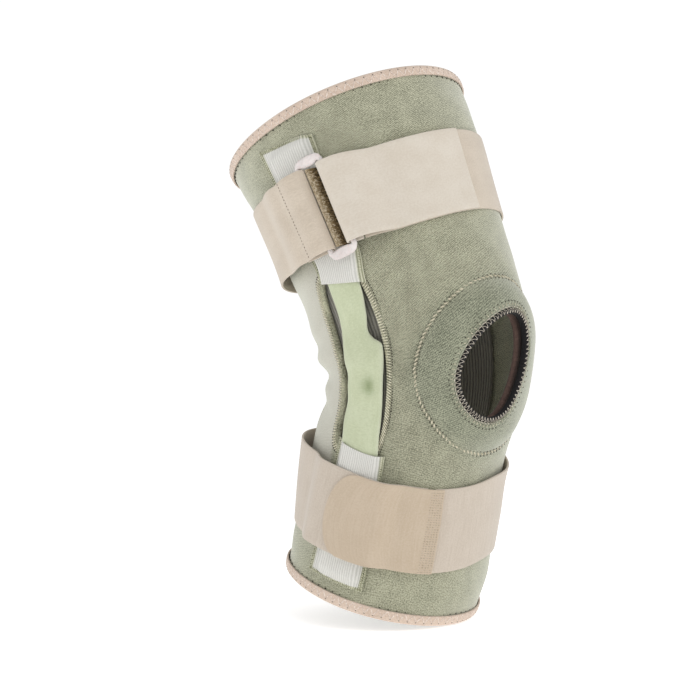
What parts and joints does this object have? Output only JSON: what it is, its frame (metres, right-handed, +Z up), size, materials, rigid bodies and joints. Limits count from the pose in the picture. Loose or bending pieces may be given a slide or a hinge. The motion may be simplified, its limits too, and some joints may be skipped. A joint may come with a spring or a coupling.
{
  "type": "hinged knee brace",
  "caption": "Knee sleeve in its worn, slightly bent form, with a padded kneecap opening, a fabric-covered hinge down each side, and elastic straps round the thigh and calf.",
  "frame": {"origin": "inside the knee, midway between the pivots of the two hinges", "axes": "+Z up the standing leg, the kneecap faces -Y, the outer side of the leg with the strap ring is on -X"},
  "size_m": [0.1645, 0.2044, 0.3394],
  "materials": {
    "sleeve_cloth": "fine knit over foam rubber, matt",
    "binding_tape": "smooth stretch tape with zigzag seam, matt",
    "trim_thread": "overlocked thread, matt",
    "pad_foam": "cloth-faced foam, matt",
    "lining_tape": "ribbed lining, matt",
    "cover_cloth": "smooth cloth, matt",
    "hinge_metal": "satin",
    "pocket_tape": "ribbed webbing, matt",
    "strap_elastic": "woven elastic, matt",
    "tab_cloth": "smooth laminate, satin",
    "calf_tab_cloth": "brushed loop cloth, matt",
    "ring_plastic": "moulded, glossy, slightly clear"
  },
  "bodies": {
    "root": {"sleeve": "sleeve_cloth", "thigh_binding": "binding_tape", "calf_binding": "binding_tape", "patella_trim": "trim_thread", "patella_buttress": "pad_foam", "hinge_lining_lateral": "lining_tape", "hinge_lining_medial": "lining_tape", "hinge_cover_lateral": "cover_cloth", "hinge_cover_medial": "cover_cloth", "hinge_lateral": "hinge_metal", "hinge_medial": "hinge_metal", "upper_pocket_lateral": "pocket_tape", "upper_pocket_medial": "pocket_tape", "lower_pocket_lateral": "pocket_tape", "lower_pocket_medial": "pocket_tape", "thigh_strap": "strap_elastic", "thigh_tab": "tab_cloth", "strap_ring": "ring_plastic", "calf_strap": "strap_elastic", "calf_tab": "calf_tab_cloth"}
  },
  "joints": []
}
